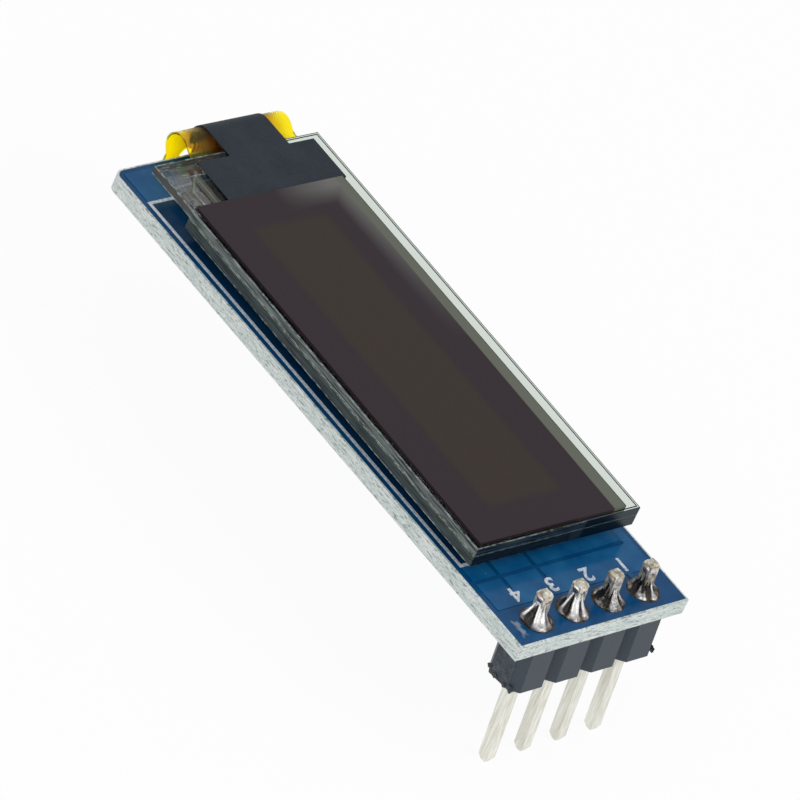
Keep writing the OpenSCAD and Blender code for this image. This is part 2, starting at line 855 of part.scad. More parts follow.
// A lead leaves the body level, bends down and ends in a flat foot on its pad.
module regulator_lead(k) {
    mid = regulator_h / 2;
    shoulder = lead_t * 1.5;
    instep = lead_t * 2.2;
    heel = lead_t * 1.6;
    armpit = lead_t * 0.9;
    color("#c9c9c6")
        at_lead(k)
            rotate([90, 0, 0])
                translate([0, 0, -lead_w / 2])
                    linear_extrude(lead_w)
                        polygon([
                            [0, mid + lead_t / 2], [shoulder, mid + lead_t / 2],
                            [instep, lead_t], [lead_reach, lead_t], [lead_reach, 0],
                            [heel, 0], [armpit, mid - lead_t / 2],
                            [0, mid - lead_t / 2]
                        ]);
}

module regulator_body()
    color("#26272a")
        on_back(regulator_place)
            translate([0, 0, body_gap])
                rounded_block(regulator_l, regulator_w, regulator_h, body_r);

module regulator_lead_1() regulator_lead(0);
module regulator_lead_2() regulator_lead(1);
module regulator_lead_3() regulator_lead(2);

// A surface-mount chip: a ceramic body between two metal end caps.
module chip(h, shade) {
    skin = 0.02;
    color(shade)
        translate([0, 0, skin])
            rounded_block(chip_l - 4 * skin, chip_w - 2 * skin, h - 2 * skin, skin);
    color("#cfcfca")
        intersection() {
            rounded_block(chip_l, chip_w, h, 3 * skin);
            for (side = [-1, 1])
                translate([side * (chip_l - terminal_l) / 2, 0, h / 2])
                    cube([terminal_l, chip_w + eps, h + eps], center = true);
        }
}

module capacitor(k) on_back(capacitor_places[k]) chip(capacitor_h, "#b8986a");
module resistor(k) on_back(resistor_places[k]) chip(resistor_h, "#202124");

module capacitor_1() capacitor(0);
module capacitor_2() capacitor(1);
module capacitor_3() capacitor(2);
module capacitor_4() capacitor(3);
module capacitor_5() capacitor(4);
module capacitor_6() capacitor(5);
module capacitor_7() capacitor(6);
module capacitor_8() capacitor(7);
module resistor_1() resistor(0);
module resistor_2() resistor(1);
module resistor_3() resistor(2);
module resistor_4() resistor(3);

// A hollow fillet of solder of height h that runs out over a pad.
fillet_hollow = 0.92;
chip_fillet_l = 0.34;
chip_fillet_rise = 0.7;
chip_fillet_spread = 0.8;
lead_fillet_l = 0.2;

module fillet(reach, h, w)
    rotate([90, 0, 0])
        translate([0, 0, -w / 2])
            linear_extrude(w)
                difference() {
                    square([reach, h]);
                    translate([reach, h]) scale(fillet_hollow * [reach, h]) circle(1);
                }

module chip_fillets(h)
    for (turn = [0, 180])
        rotate(turn)
            translate([chip_l / 2, 0])
                fillet(chip_fillet_l, h * chip_fillet_rise, chip_w * chip_fillet_spread);

module chip_solder()
    color("#c4c4bf") {
        for (place = capacitor_places) on_back(place) chip_fillets(capacitor_h);
        for (place = resistor_places) on_back(place) chip_fillets(resistor_h);
        for (k = [0:2]) at_lead(k) translate([lead_reach, 0]) fillet(lead_fillet_l, lead_t, lead_w);
    }

// ---------------------------------------------------------------- parts

board();
copper_top();
copper_bottom();
hole_plating();
solder_mask_top();
solder_mask_bottom();
legend_frame();
header_insulator();
pin_1();
pin_2();
pin_3();
pin_4();
solder_joint_1();
solder_joint_2();
solder_joint_3();
solder_joint_4();
foam_tape();
cap_glass();
desiccant();
seal_ring();
cathode();
pixel_layer();
panel_wiring();
front_glass();
polariser();
driver_chip();
flex_film();
flex_tracks();
flex_cover();
light_tape();
flex_solder();
regulator_body();
regulator_lead_1();
regulator_lead_2();
regulator_lead_3();
capacitor_1();
capacitor_2();
capacitor_3();
capacitor_4();
capacitor_5();
capacitor_6();
capacitor_7();
capacitor_8();
resistor_1();
resistor_2();
resistor_3();
resistor_4();
chip_solder();
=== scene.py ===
# %% [markdown]
# # A small display module
#
# The real object is a strip of display glass, taped to a narrow circuit board. A yellow flexible
# circuit folds round one end of the board, and a row of pins hangs under the other. Its pieces
# already have their true shapes, so the work here is mostly finish: lacquer, glass, film, foil and
# solder, at the size of a thumb. The few forms added are the ones too fine for the solid model.

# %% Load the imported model
import json
import math

import bmesh
import bpy
from mathutils import Matrix, Vector, noise


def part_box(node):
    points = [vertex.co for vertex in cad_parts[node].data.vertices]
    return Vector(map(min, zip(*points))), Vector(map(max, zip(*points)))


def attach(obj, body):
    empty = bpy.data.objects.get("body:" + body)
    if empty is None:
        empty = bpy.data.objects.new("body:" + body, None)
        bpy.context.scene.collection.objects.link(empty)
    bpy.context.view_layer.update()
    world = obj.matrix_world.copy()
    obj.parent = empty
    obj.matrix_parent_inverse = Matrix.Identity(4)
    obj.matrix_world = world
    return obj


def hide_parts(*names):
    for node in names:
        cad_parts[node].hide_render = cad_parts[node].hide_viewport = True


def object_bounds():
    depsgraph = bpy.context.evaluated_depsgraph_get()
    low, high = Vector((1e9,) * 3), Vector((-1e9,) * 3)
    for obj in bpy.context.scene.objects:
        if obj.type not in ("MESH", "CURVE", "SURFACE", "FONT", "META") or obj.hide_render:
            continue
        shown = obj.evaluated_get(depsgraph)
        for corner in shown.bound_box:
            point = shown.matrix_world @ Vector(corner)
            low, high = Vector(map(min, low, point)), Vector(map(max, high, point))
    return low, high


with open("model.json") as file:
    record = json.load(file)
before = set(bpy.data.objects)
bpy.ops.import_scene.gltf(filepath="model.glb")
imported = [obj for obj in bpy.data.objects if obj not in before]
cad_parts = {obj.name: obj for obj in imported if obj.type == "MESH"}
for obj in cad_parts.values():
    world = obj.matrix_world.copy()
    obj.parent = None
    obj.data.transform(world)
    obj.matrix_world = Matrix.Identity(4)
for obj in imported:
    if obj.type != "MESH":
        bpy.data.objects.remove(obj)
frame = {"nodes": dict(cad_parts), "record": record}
cad_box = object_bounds()
nodes = frame["nodes"]
MM = 0.001
size = (cad_box[1] - cad_box[0]) / MM
print(f"{len(nodes)} solids, {size.x:.1f} x {size.y:.1f} x {size.z:.1f} mm")

# %% [markdown]
# ## Reading places from the solids
#
# Places could be typed in, but then a new version of the solids would leave the finishes behind.
# So a place is measured from the solids wherever it can be, and what is typed in is how far from
# an edge something lies, in millimetres. The glass sits a little askew on the board, and its own
# axes are found from its corners: the two nearest to the pins and the two furthest from them give
# its middle line.


# %% Axes of a long plate
def plate(name):
    """Near middle, direction, length and width of a plate along the board, in millimetres."""
    seen = {(round(v.co.x, 6), round(v.co.y, 6)) for v in nodes[name].data.vertices}
    corner = [Vector(point) / MM for point in sorted(seen)]
    near, far = (corner[0] + corner[1]) / 2, (corner[-1] + corner[-2]) / 2
    axis = (far - near).normalized()
    return near, axis, (far - near).length, (corner[0] - corner[1]).length


_, glass_axis, glass_l, glass_w = plate("front_glass")
skew = math.degrees(math.atan2(glass_axis.y, glass_axis.x))
print(f"glass {glass_l:.1f} x {glass_w:.1f} mm, askew by {skew:.1f} degrees")

# %% [markdown]
# ## Writing materials as sums
#
# A material can be built node by node and link by link, but it is easier to read as arithmetic. A
# `Wire` is one output of a node: adding two wires adds a Math node, and so does `1 - mask`. Wires
# carry numbers here. Colours and points go through the nodes that are made for them.


# %% Wires
class Wire:
    """One output of a shader node, usable in a Python expression."""

    def __init__(self, tree, made, out=0):
        self.tree, self.made = tree, made
        self.socket = made.outputs[out] if made.outputs else None

    def out(self, name):
        return Wire(self.tree, self.made, name)

    def math(self, operation, *values):
        return self.tree.node("Math", {"operation": operation}, dict(enumerate(values)))

    def __add__(self, other):
        return self.math("ADD", self, other)

    def __sub__(self, other):
        return self.math("SUBTRACT", self, other)

    def __rsub__(self, other):
        return self.math("SUBTRACT", other, self)

    def __mul__(self, other):
        return self.math("MULTIPLY", self, other)

    def __truediv__(self, other):
        return self.math("DIVIDE", self, other)

    def __rtruediv__(self, other):
        return self.math("DIVIDE", other, self)

    def __abs__(self):
        return self.math("ABSOLUTE", self)

    __radd__ = __add__
    __rmul__ = __mul__

    def highest(self, other):
        return self.math("MAXIMUM", self, other)

    def lowest(self, other):
        return self.math("MINIMUM", self, other)

    def clip(self):
        return self.tree.node("Clamp", {}, {"Value": self})


# %% [markdown]
# Every other node is made by one method, `Tree.node`. It sets the settings first, because they
# decide which sockets a node has. A Mix node has sockets of the same names for each kind of data,
# so the ones for colours are found by number.

# %% Trees
SHARE, COLOUR_A, COLOUR_B, COLOUR_OUT = 0, 6, 7, 2


class Tree:
    """A node tree and the one way that its nodes are made."""

    def __init__(self, graph):
        self.graph = graph
        graph.nodes.clear()

    def node(self, kind, settings=None, sockets=None, out=0):
        made = self.graph.nodes.new("ShaderNode" + kind)
        for key, value in (settings or {}).items():
            setattr(made, key, value)
        for key, value in (sockets or {}).items():
            if isinstance(value, Wire):
                self.graph.links.new(value.socket, made.inputs[key])
            else:
                made.inputs[key].default_value = value
        return Wire(self, made, out)

    def mix(self, share, a, b):
        """A colour that goes from a to b."""
        sockets = {SHARE: share, COLOUR_A: a, COLOUR_B: b}
        return self.node("Mix", {"data_type": "RGBA"}, sockets, COLOUR_OUT)

    def place(self):
        """The point on the object, in millimetres. Every solid's own origin is the part's."""
        point = self.node("TexCoord").out("Object")
        return self.node("VectorMath", {"operation": "SCALE"}, {0: point, "Scale": 1 / MM})

    def axes(self):
        """The three numbers of that point."""
        split = self.node("SeparateXYZ", {}, {0: self.place()})
        return [split.out(axis) for axis in "XYZ"]

    def grain(self, stretch, detail=4, rough=0.55):
        """Noise from 0 to 1. The stretch is in waves a millimetre along each axis."""
        point = self.node(
            "VectorMath", {"operation": "MULTIPLY"}, {0: self.place(), 1: stretch}
        )
        sockets = {"Vector": point, "Scale": 1, "Detail": detail, "Roughness": rough}
        return self.node("TexNoise", {}, sockets)

    def bump(self, height, depth):
        """A normal from a height of 0 to 1 that stands for a depth in millimetres."""
        sockets = {"Height": height, "Distance": depth * MM, "Strength": 1}
        return self.node("Bump", {}, sockets)


# %% [markdown]
# Three helpers are used all over. `ramp` and `fading` turn a noise or a distance into a mask, where
# a ColorRamp node would need its stops moved by hand. `rgb` takes a colour as it is usually written
# and returns the linear light that a shader works in.


# %% Ramps and colours
def ramp(value, low, high):
    """0 up to low, 1 from high on, and straight between."""
    return ((value - low) / (high - low)).clip()


def fading(value, low, high):
    """The other way round: 1 up to low and 0 from high on."""
    return 1 - ramp(value, low, high)


def rgb(red, green, blue):
    """A colour given in the usual 0 to 255, by the standard curve of a screen."""

    def linear(level):
        level /= 255
        return level / 12.92 if level <= 0.04045 else ((level + 0.055) / 1.055) ** 2.4

    return (linear(red), linear(green), linear(blue), 1.0)


print(f"a written 128 is {rgb(128, 128, 128)[0]:.3f} in linear light")

# %% [markdown]
# One function opens a material and one closes it. Only the colour, the roughness, the share of
# metal, how solid it is and its normal may arrive as wires. What is the same all over a surface,
# such as its gloss, is set on the shader's own socket, so that it survives an export.

# %% Opening and closing a material
SOCKETS = {
    "ior": "IOR",
    "gloss": "Specular IOR Level",
    "clear": "Transmission Weight",
    "rough": "Roughness",
    "metal": "Metallic",
    "solid": "Alpha",
    "normal": "Normal",
}


def start(name):
    material = bpy.data.materials.new(name)
    material.use_nodes = True
    return material, Tree(material.node_tree)


def finish(material, tree, base, **values):
    sockets = {SOCKETS[key]: value for key, value in values.items()}
    shader = tree.node("BsdfPrincipled", {}, {"Base Color": base, **sockets})
    tree.node("OutputMaterial", {}, {"Surface": shader})
    print(f"material {material.name}: {len(tree.graph.nodes)} nodes")
    return material


# %% [markdown]
# ## The circuit board
#
# A bare board edge shows its build: layers of white glass cloth in pale green resin, cut by a saw.
# The layers could be modelled, but they are thinner than a hair. So the noise is stretched along
# the board and squeezed through its thickness, which turns it into plies. A second, finer noise
# leaves dark flecks where fibres tore out, and a third leaves short dashes along the plies.

# %% Sawn glass fibre
PLY, STRAND, DASH = (0.5, 0.5, 8), (5, 5, 16), (2.2, 2.2, 9)
RESIN, CLOTH = rgb(196, 212, 208), rgb(242, 248, 245)
FRAYED, TORN_OUT = rgb(252, 254, 253), rgb(90, 108, 110)
FLECK_DEPTH, DASH_DEPTH = 0.75, 0.65


def fibreglass():
    material, tree = start("sawn_fibreglass")
    ply = tree.grain(PLY)
    strand = tree.grain(STRAND, detail=5, rough=0.75)
    fleck = ramp(strand, 0.56, 0.63) * ramp(ply, 0.4, 0.55)
    dash = ramp(tree.grain(DASH, rough=0.7), 0.54, 0.62)
    pale = tree.mix(ramp(ply, 0.35, 0.65), RESIN, CLOTH)
    pale = tree.mix(ramp(strand, 0.3, 0.5), FRAYED, pale)
    dark = (fleck * FLECK_DEPTH).highest(dash * DASH_DEPTH)
    colour = tree.mix(dark, pale, TORN_OUT)
    normal = tree.bump(ply * 0.5 + strand, 0.05)
    return finish(material, tree, colour, rough=0.62, normal=normal, gloss=0.3)


board_finish = fibreglass()

# %% [markdown]
# The lacquer over the board is blue all through, but it looks warmer and paler over copper than
# over bare laminate. The copper's outline could be drawn again, but the solid's own relief already
# says where it is: only there does the lacquer reach its full height. Inside the printed frame,
# under the display, painted shade makes the blue deeper. Hand soldering has left a white smudge of
# flux in one corner, and specks.

# %% Places on the lacquer
mask_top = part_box("solder_mask_top")[1].z / MM
mask_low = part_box("solder_mask_bottom")[0].z / MM
board_low, board_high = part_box("board")
frame_low, frame_high = (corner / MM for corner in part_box("legend_frame"))
RELIEF = 0.02
SMUDGE_X = board_low.x / MM + 1.25
SMUDGE_Y = board_high.y / MM - 0.85
SMUDGE_L, SMUDGE_W = 0.75, 0.28
print(f"lacquer from {mask_low:.2f} to {mask_top:.2f} mm")

# %% Blue lacquer
BARE = (rgb(4, 66, 112), rgb(8, 78, 128))
OVER_COPPER = (rgb(6, 80, 132), rgb(26, 98, 148))
PAINTED_SHADE, PAINTED_SHADE_SHARE = rgb(2, 26, 60), 0.65
FLUX, FLUX_SHARE = rgb(168, 176, 182), 0.6
FRAME_FADE = (0.05, 0.3)


def flux_on_board(tree, x, y):
    """Where flux lies, from 0 to 1: a torn smudge in the corner, and specks."""
    far = abs((x - SMUDGE_X) / SMUDGE_L).highest(abs((y - SMUDGE_Y) / SMUDGE_W))
    torn = tree.grain((3, 5, 3), detail=6, rough=0.75)
    smudge = ramp(torn - far * 0.35, 0.22, 0.4)
    speck = ramp(tree.grain((2.6, 2.6, 2.6), detail=6, rough=0.8), 0.68, 0.72)
    return smudge.highest(speck * 0.7)


def lacquer(name, level, shaded):
    """Level is the lacquer's full height. Shaded is 1 for the side with the printed frame, where
    shade from the display is painted.
    """
    material, tree = start(name)
    x, y, z = tree.axes()
    over_copper = fading(abs(z - level), RELIEF * 0.5, RELIEF)
    cloud = ramp(tree.grain((0.7, 0.7, 0.7), detail=5), 0.32, 0.66)
    colour = tree.mix(over_copper, tree.mix(cloud, *BARE), tree.mix(cloud, *OVER_COPPER))
    in_frame = (x - frame_low.x).lowest(frame_high.x - x).lowest(frame_high.y - abs(y))
    # Painted shade: inside the printed frame, under the display, the blue is darkened.
    shade = ramp(in_frame, *FRAME_FADE) * shaded
    colour = tree.mix(shade * PAINTED_SHADE_SHARE, colour, PAINTED_SHADE)
    flux = flux_on_board(tree, x, y)
    colour = tree.mix(flux * FLUX_SHARE, colour, FLUX)
    normal = tree.bump(tree.grain((1.2, 1.2, 1.2), detail=2), 0.006)
    rough = 0.16 + flux * 0.5
    return finish(material, tree, colour, rough=rough, normal=normal, gloss=0.15)


front_lacquer = lacquer("front_lacquer", mask_top, shaded=1)
rear_lacquer = lacquer("rear_lacquer", mask_low, shaded=0)

# %% [markdown]
# White ink is thin in places, so that the blue shows through. That could be a hole in the ink's
# solid here and there, but a second, bluer tone does the same for ink so thin.

# %% Ink
INK_THIN, INK_FULL = rgb(176, 192, 212), rgb(232, 238, 244)


def ink():
    material, tree = start("printed_ink")
    cover = ramp(tree.grain((6, 6, 6)), 0.35, 0.6)
    colour = tree.mix(cover, INK_THIN, INK_FULL)
    return finish(material, tree, colour, rough=0.5, gloss=0.3)


ink_finish = ink()

# %% [markdown]
# ## Metals
#
# No metal here is flat: each shows the marks of the tool that formed it. One function makes them
# all, because marks drawn along a pin, rolled into foil or cast in solder differ only in how the
# noise is stretched. The iron's heat may have stained a metal from some height up.

# %% Metal
STAIN, STAIN_FADE = rgb(122, 108, 82), 0.4


def metal(name, dark, light, rough, stretch, depth=0.004, whole=1.0, stained_from=None):
    """Whole is how far it is metal to the shader. Below 1 it stays paler from every side."""
    material, tree = start(name)
    mark = tree.grain(stretch)
    colour = tree.mix(ramp(mark, 0.3, 0.7), dark, light)
    shine = rough + mark * 0.12
    if stained_from is not None:
        _, _, z = tree.axes()
        blotch = ramp(tree.grain((3, 3, 3)), 0.34, 0.62)
        stained = ramp(z, stained_from, stained_from + STAIN_FADE) * blotch
        colour = tree.mix(stained * 0.85, colour, STAIN)
        shine = shine + stained * 0.15
    normal = tree.bump(mark, depth)
    return finish(material, tree, colour, rough=shine, metal=whole, normal=normal)


# %% [markdown]
# What is chosen for each is its tones, its roughness and how its marks are stretched. The tones are
# those of copper, dark plating, tin and solder, the pale plate of the pins, the mirror behind the
# lit layers and a bare chip of silicon.

# %% Metals of this module
COPPER = (rgb(150, 84, 50), rgb(206, 132, 88))
PLATED = (rgb(40, 34, 28), rgb(104, 84, 56))
TINNED = (rgb(150, 150, 146), rgb(226, 224, 216))
PIN_TONES = (rgb(210, 209, 196), rgb(246, 246, 238))
MIRROR = (rgb(120, 120, 124), rgb(150, 150, 154))
SILICON = (rgb(60, 66, 74), rgb(92, 98, 108))
DRAWN = {"stretch": (7, 7, 0.5), "depth": 0.002, "whole": 0.75}
foil = metal("copper_foil", *COPPER, rough=0.35, stretch=(2, 8, 2))
conductors = metal("flex_copper", *COPPER, rough=0.3, stretch=(6, 6, 6))
plating = metal("pad_plating", *PLATED, rough=0.5, stretch=(4, 4, 4))
pin_plate = metal("pin_plate", *PIN_TONES, rough=0.4, stained_from=mask_top, **DRAWN)
rear_solder = metal("rear_solder", *TINNED, rough=0.22, stretch=(3, 3, 3), depth=0.01)
leads = metal("tinned_lead", *TINNED, rough=0.3, stretch=(8, 2, 2))
cathode = metal("cathode_film", *MIRROR, rough=0.25, stretch=(1, 1, 1))
silicon = metal("bare_die", *SILICON, rough=0.2, stretch=(3, 3, 3))

# %% [markdown]
# ## Plastic, foam, epoxy and tape
#
# Each of these could have its own material, but dull moulded surfaces differ mainly by their
# grain: coarse and open in foam, fine and even in tape. One function serves them all.


# %% Dull surfaces
def dull(name, dark, light, grain, depth, rough=0.55):
    material, tree = start(name)
    fine = tree.grain((grain, grain, grain), rough=0.6)
    broad = tree.grain((0.6, 0.6, 0.6), detail=2)
    colour = tree.mix(ramp(fine * 0.7 + broad * 0.3, 0.35, 0.65), dark, light)
    normal = tree.bump(fine, depth)
    return finish(material, tree, colour, rough=rough, normal=normal, gloss=0.15)


foam = dull("foam_strip", rgb(14, 14, 15), rgb(38, 38, 40), grain=5, depth=0.05, rough=0.9)
tape = dull("screen_tape", rgb(30, 38, 46), rgb(50, 59, 67), grain=16, depth=0.006, rough=0.6)
epoxy = dull("moulded_epoxy", rgb(24, 24, 26), rgb(40, 40, 43), grain=10, depth=0.01)
drying_sheet = dull("drying_sheet", rgb(90, 86, 78), rgb(132, 127, 116), grain=6, depth=0.02)
layers = dull("film_stack", rgb(34, 28, 24), rgb(52, 44, 38), grain=8, depth=0.001, rough=0.3)
wiring = dull("glass_wiring", rgb(226, 234, 204), rgb(248, 251, 234), grain=5, depth=0.001)

# %% [markdown]
# The header strip was snapped from a longer one, so its two ends are torn plastic. The tear could
# be cut into the mesh, but it is only a tenth of a millimetre deep. A rougher bump does it, which
# only the ends get, found from how far a point lies along the row.

# %% Header plastic
header_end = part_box("header_insulator")[1].y / MM
TEAR_FROM, TEAR_TO, TEAR_DEPTH = 0.03, 0.01, 0.12
MOULDED = (rgb(40, 50, 58), rgb(58, 71, 81))
TORN_DARK, TORN_PALE, DUST = rgb(16, 22, 28), rgb(110, 118, 126), rgb(150, 156, 162)


def header_plastic():
    material, tree = start("header_plastic")
    _, y, _ = tree.axes()
    fine = tree.grain((9, 9, 9))
    torn = tree.grain((2.2, 6, 2.2), detail=6, rough=0.75)
    at_end = ramp(abs(y), header_end - TEAR_FROM, header_end - TEAR_TO)
    dust = ramp(tree.grain((4, 4, 4), detail=5, rough=0.8), 0.66, 0.72)
    colour = tree.mix(fine, *MOULDED)
    colour = tree.mix(at_end * fading(torn, 0.38, 0.48) * 0.85, colour, TORN_DARK)
    colour = tree.mix(at_end * ramp(torn, 0.52, 0.66) * 0.5, colour, TORN_PALE)
    colour = tree.mix(dust * 0.35, colour, DUST)
    normal = tree.bump(fine * 0.1 + at_end * torn, TEAR_DEPTH)
    return finish(material, tree, colour, rough=0.48, normal=normal, gloss=0.45)


header_finish = header_plastic()
print(f"torn ends at {header_end:.2f} mm from the middle")

# %% [markdown]
# ## The display
#
# The polarising film over the lit area decides how the whole screen looks when it is off: nearly
# black, a little purple, with the lit area showing through as a browner rectangle. Along one long
# edge the film reaches past the dark layers, over the seal, and light that enters the glass there
# is painted as a khaki band that widens towards the pins. Towards the far corner of that edge the
# film is painted paler, as a smoky haze. A clear film over the layers would be closer to how it is
# built, but such thin layers let light through in specks, so all of it is painted on the film, by
# distances along and across it.
#
# From here on, a name that ends in FADE says over which distance a mask fades. Two numbers say
# where it starts and where it stops, and one number how wide it is.


# %% Distances on a plate
def along_plate(tree, near, axis):
    """Distances along a plate from its near edge and away from its middle line."""
    x, y, _ = tree.axes()
    from_x, from_y = x - near.x, y - near.y
    return from_x * axis.x + from_y * axis.y, from_y * axis.x - from_x * axis.y


lit_near, _, lit_l, lit_w = plate("pixel_layer")
film_near, film_axis, film_l, film_w = plate("polariser")
print(f"lit area {lit_l:.1f} x {lit_w:.1f} mm under a film of {film_l:.1f} x {film_w:.1f} mm")

# %% Polarising film
LIT_FADE = 0.6
BAND_NEAR, BAND_FAR, BAND_FADE = 0.78, 0.55, 0.08
RIM_FADE = (0.03, 0.06)
SMOKE_AT_EDGE, SMOKE_ACROSS, SMOKE_ALONG = (0.5, 1.8), (1.2, 5), (1, 13)
PURPLE = (rgb(28, 19, 28), rgb(58, 46, 52))
BROWN = (rgb(36, 28, 24), rgb(66, 55, 47))
SMOKE, PAINTED_LIGHT_KHAKI, RIM = rgb(146, 146, 142), rgb(102, 106, 94), rgb(34, 42, 44)


def polariser_film():
    material, tree = start("polarising_film")
    along, across = along_plate(tree, lit_near, glass_axis)
    in_length = ramp(lit_l / 2 - abs(along - lit_l / 2), 0, LIT_FADE)
    in_width = ramp(lit_w / 2 - abs(across), 0, LIT_FADE)
    sparkle = ramp(tree.grain((26, 26, 26), detail=3), 0.3, 0.7)
    border, lit = tree.mix(sparkle, *PURPLE), tree.mix(sparkle, *BROWN)
    colour = tree.mix(in_length * in_width, border, lit)
    along, across = along_plate(tree, film_near, film_axis)
    from_side, from_end = across + film_w / 2, film_l - along
    smoke = fading(from_side.lowest(from_end), *SMOKE_AT_EDGE)
    smoke = smoke * fading(from_side, *SMOKE_ACROSS) * fading(from_end, *SMOKE_ALONG)
    colour = tree.mix(smoke * 0.5, colour, SMOKE)
    # Painted light: a khaki band along one long edge, from light that enters the glass there.
    band = BAND_NEAR + along * ((BAND_FAR - BAND_NEAR) / film_l)
    colour = tree.mix(fading(from_side - band, 0, BAND_FADE), colour, PAINTED_LIGHT_KHAKI)
    colour = tree.mix(fading(from_side, *RIM_FADE), colour, RIM)
    normal = tree.bump(tree.grain((16, 16, 16), detail=2), 0.002)
    return finish(material, tree, colour, rough=0.28, normal=normal, gloss=0.12)


film_finish = polariser_film()

# %% [markdown]
# The two glasses are real panes with light passing through them. Their edges were scored and
# broken, so a narrow rim is dark and rough, with streaks along it and glints where two faces meet.
# Further in, the rim of the seal shows through the front pane as a dark line. One long margin is
# bright, because the pane's own side mirrors the room there, and two thin dark lines run along it.
#
# All this could be left to the light, but through two panes and a film it comes out as noise. So
# the rims are painted by their distance from the edge. Part of the light goes straight through the
# middle, which stands for how little a pane half a millimetre thick bends it. Where a rim lets no
# light through, the shader leans towards metal, which outweighs glass.

# %% Distances on the glass
GROUND, GROUND_MIRROR = 0.1, 0.6
SEAL_LINE, SEAL_FADE = 0.45, (0.02, 0.05)
MARGIN_FADE = (1, 2)
BRIGHT_RIM, BRIGHT_FADE, BRIGHT_MIRROR = 0.95, 0.04, 0.9
EDGE_LINE_FADE = (0.04, 0.06)
INNER_LINE, INNER_LINE_FADE = 0.15, (0.03, 0.05)
CORNER_FADE = (0.03, 0.07)
LEDGE_FADE = 0.4
RIM_SOLID = 0.97
cap_l = plate("cap_glass")[2]
print(f"the front glass reaches {glass_l - cap_l:.1f} mm past the cap")

# %% Glass
SIDE_DARK, SIDE_LEDGE, LEDGE = rgb(46, 58, 60), rgb(66, 68, 66), rgb(120, 114, 104)
CLEAN, SEAL, BRIGHT_EDGE = rgb(250, 252, 250), rgb(58, 76, 78), rgb(222, 230, 222)
LINE, GLINT = rgb(30, 46, 54), rgb(214, 224, 220)
FRONT, FRONT_SIDE = rgb(190, 202, 196), rgb(138, 148, 146)
CAP, CAP_SIDE = rgb(178, 200, 192), rgb(84, 96, 98)


def glass(name, node, tint, solid, side_tone, front):
    """A pane. Front is 1 for the pane that carries the seal line."""
    material, tree = start(name)
    near, axis, length, width = plate(node)
    low, high = (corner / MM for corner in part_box(node))
    _, _, z = tree.axes()
    along, across = along_plate(tree, near, axis)
    inside = (width / 2 - abs(across)).lowest(along).lowest(length - along)
    margin = ramp(0 - across, *MARGIN_FADE)
    ground = fading(inside, GROUND / 2, GROUND) * (1 - margin)
    inner_line = fading(abs(inside - INNER_LINE), *INNER_LINE_FADE)
    lines = fading(inside, *EDGE_LINE_FADE).highest(inner_line) * margin
    seal = fading(abs(inside - SEAL_LINE), *SEAL_FADE) * (1 - margin) * (0.8 * front)
    bright_rim = fading(inside, BRIGHT_RIM - BRIGHT_FADE, BRIGHT_RIM) * margin
    streak = tree.grain((0.5, 0.5, 11))
    chip = tree.grain((2.5, 2.5, 9), detail=5, rough=0.7)
    corner = fading((z - low.z).lowest(high.z - z), *CORNER_FADE)
    glint = ground * corner * ramp(chip, 0.46, 0.56)
    ledge = ramp(along, cap_l, cap_l + LEDGE_FADE)
    side = tree.mix(ramp(streak, 0.4, 0.6), SIDE_DARK, side_tone)
    side = tree.mix(ledge, side, SIDE_LEDGE)
    colour = tree.mix(ledge * 0.5, tree.mix(chip, tint, CLEAN), LEDGE)
    colour = tree.mix(seal, colour, SEAL)
    colour = tree.mix(bright_rim, colour, BRIGHT_EDGE)
    colour = tree.mix(lines, colour, LINE)
    colour = tree.mix(ground, colour, side)
    colour = tree.mix(glint * 0.8, colour, GLINT)
    rough = ground * 0.35 + lines * 0.3 + 0.01
    seen = solid + ground.highest(bright_rim) * (RIM_SOLID - solid)
    mirror = (ground * GROUND_MIRROR).highest(bright_rim * BRIGHT_MIRROR)
    values = {"rough": rough, "solid": seen, "metal": mirror}
    return finish(material, tree, colour, ior=1.3, clear=1.0, **values)


front_pane = glass("front_pane", "front_glass", FRONT, 0.6, FRONT_SIDE, front=1)
cap_pane = glass("cap_pane", "cap_glass", CAP, 0.7, CAP_SIDE, front=0)

# %% [markdown]
# The resin between the panes is thin and cloudy. It could scatter light through its thickness,
# which is slow, so it is a weak filter: half solid, with clouds in its colour.


# %% Cloudy resin
def resin(name, dark, light, solid):
    material, tree = start(name)
    colour = tree.mix(tree.grain((1.5, 1.5, 1.5)), dark, light)
    return finish(material, tree, colour, rough=0.4, solid=solid, gloss=0.3)


seal_finish = resin("cured_seal", rgb(96, 108, 92), rgb(150, 156, 124), solid=0.5)

# %% [markdown]
# ## The flexible circuit
#
# Its film is a clear deep yellow. A painted yellow would do from one side, but light that comes
# through the film from behind is far brighter than light it reflects, so nearly all of it is let
# through. The cover film is paler, because the eye sees the other film's yellow through it. Towards
# the band of conductors it turns brown and duller.

# %% Amber film
over_end = [v.co.y / MM for v in nodes["flex_tracks"].data.vertices if v.co.x > board_high.x]
band_middle = (max(over_end) + min(over_end)) / 2
band_half = (max(over_end) - min(over_end)) / 2
BROWN_FROM, BROWN_TO = 1.6, 0.3
BROWN_AT_CONDUCTORS = rgb(168, 132, 86)
print(f"conductors cross the fold over {2 * band_half:.1f} mm")


def amber(name, dark, light, clear, brown):
    """Brown is how far the film turns brown at the conductors, from 0 to 1."""
    material, tree = start(name)
    _, y, _ = tree.axes()
    colour = tree.mix(tree.grain((1.2, 1.2, 1.2), detail=3), dark, light)
    beyond = abs(y - band_middle) - band_half
    near_copper = ramp(BROWN_FROM - beyond, 0, BROWN_FROM - BROWN_TO) * brown
    colour = tree.mix(near_copper, colour, BROWN_AT_CONDUCTORS)
    rough = 0.08 + near_copper * 0.6
    return finish(material, tree, colour, rough=rough, ior=1.15, clear=clear, gloss=0.5)


film = amber("amber_film", rgb(255, 232, 10), rgb(255, 243, 30), clear=1.0, brown=0)
cover = amber("amber_cover", rgb(255, 244, 120), rgb(255, 250, 150), clear=0.97, brown=0.85)

